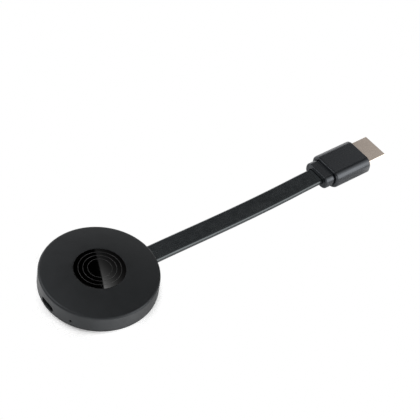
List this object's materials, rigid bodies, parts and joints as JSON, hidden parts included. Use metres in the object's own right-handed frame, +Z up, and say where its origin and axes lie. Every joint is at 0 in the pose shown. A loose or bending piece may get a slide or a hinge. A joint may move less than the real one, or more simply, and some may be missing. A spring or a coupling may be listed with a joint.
{
  "type": "streaming media player",
  "caption": "Flat round video player with a captive ribbon cable that ends in a type-A video plug, a micro power socket in its side and a glossy disc on top.",
  "frame": {"origin": "centre of the base pad's underside, where the puck rests on a table", "axes": "+X along the cable from the puck towards the plug, +Z up through the puck's top, the power socket faces -X"},
  "size_m": [0.1865, 0.0518, 0.0119],
  "materials": {
    "case": "fine matte moulded texture, soft touch",
    "medallion": "polished black",
    "cable_sheath": "satin elastomer",
    "plug_moulding": "satin moulded",
    "plug_metal": "plated, warm, softly brushed",
    "pad": "soft matte",
    "board": "solder-masked laminate",
    "chips": "moulded epoxy",
    "stamped_metal": "plated sheet",
    "spreader": "rolled sheet",
    "thermal_silicone": "soft filled silicone",
    "clear_plastic": "clear, polished",
    "contact_plastic": "moulded connector plastic",
    "ceramic": "fired ceramic"
  },
  "bodies": {
    "puck": {"top_cover": "case", "bottom_cover": "case", "medallion": "medallion", "base_pad": "pad", "main_board": "board", "board_screw_1": "stamped_metal", "board_screw_2": "stamped_metal", "board_screw_3": "stamped_metal", "board_screw_4": "stamped_metal", "processor_chip": "chips", "memory_chip": "chips", "flash_chip": "chips", "wifi_module": "stamped_metal", "clock_crystal": "stamped_metal", "power_inductor_1": "chips", "power_inductor_2": "chips", "capacitor_1": "ceramic", "capacitor_2": "ceramic", "capacitor_3": "ceramic", "shield_can": "stamped_metal", "thermal_pad": "thermal_silicone", "heat_spreader": "spreader", "wifi_antenna": "stamped_metal", "socket_shell": "stamped_metal", "socket_tongue": "contact_plastic", "status_led": "clear_plastic", "light_pipe": "clear_plastic", "switch_body": "contact_plastic", "wire_header": "contact_plastic", "cable_clamp": "contact_plastic", "cable_lead": "cable_sheath"},
    "button": {"reset_button": "case", "switch_plunger": "stamped_metal"},
    "cable_link_1": {"cable_link_1": "cable_sheath"},
    "cable_link_2": {"cable_link_2": "cable_sheath"},
    "cable_link_3": {"cable_link_3": "cable_sheath"},
    "cable_link_4": {"cable_link_4": "cable_sheath"},
    "cable_link_5": {"cable_link_5": "cable_sheath"},
    "cable_link_6": {"cable_link_6": "cable_sheath"},
    "plug": {"plug_hood": "plug_moulding", "plug_collar": "plug_moulding", "plug_shell": "plug_metal", "plug_insulator": "contact_plastic", "contact_holder": "contact_plastic", "plug_inner_mould": "contact_plastic", "cable_tail": "cable_sheath"}
  },
  "joints": [
    {"name": "cable_flex_1", "type": "hinge", "parent": "puck", "child": "cable_link_1", "pos_m": [0.032, 0, 0.00402], "axis": [0, -1, 0], "range_deg": [-26, 26], "stiffness_Nm_per_rad": 0.02},
    {"name": "cable_flex_2", "type": "hinge", "parent": "cable_link_1", "child": "cable_link_2", "pos_m": [0.04608, 0, 0.0037], "axis": [0, -1, 0], "range_deg": [-26, 26], "stiffness_Nm_per_rad": 0.02},
    {"name": "cable_flex_3", "type": "hinge", "parent": "cable_link_2", "child": "cable_link_3", "pos_m": [0.06017, 0, 0.00335], "axis": [0, -1, 0], "range_deg": [-26, 26], "stiffness_Nm_per_rad": 0.02},
    {"name": "cable_flex_4", "type": "hinge", "parent": "cable_link_3", "child": "cable_link_4", "pos_m": [0.07425, 0, 0.00313], "axis": [0, -1, 0], "range_deg": [-26, 26], "stiffness_Nm_per_rad": 0.02},
    {"name": "cable_flex_5", "type": "hinge", "parent": "cable_link_4", "child": "cable_link_5", "pos_m": [0.08833, 0, 0.00318], "axis": [0, -1, 0], "range_deg": [-26, 26], "stiffness_Nm_per_rad": 0.02},
    {"name": "cable_flex_6", "type": "hinge", "parent": "cable_link_5", "child": "cable_link_6", "pos_m": [0.10242, 0, 0.00357], "axis": [0, -1, 0], "range_deg": [-26, 26], "stiffness_Nm_per_rad": 0.02},
    {"name": "cable_flex_7", "type": "hinge", "parent": "cable_link_6", "child": "plug", "pos_m": [0.1165, 0, 0.00426], "axis": [0, -1, 0], "range_deg": [-26, 26], "stiffness_Nm_per_rad": 0.02},
    {"name": "button_press", "type": "slide", "parent": "puck", "child": "button", "axis": [0.8729, -0.4879, 0], "range_m": [0, 0.0003], "stiffness_N_per_m": 30}
  ]
}
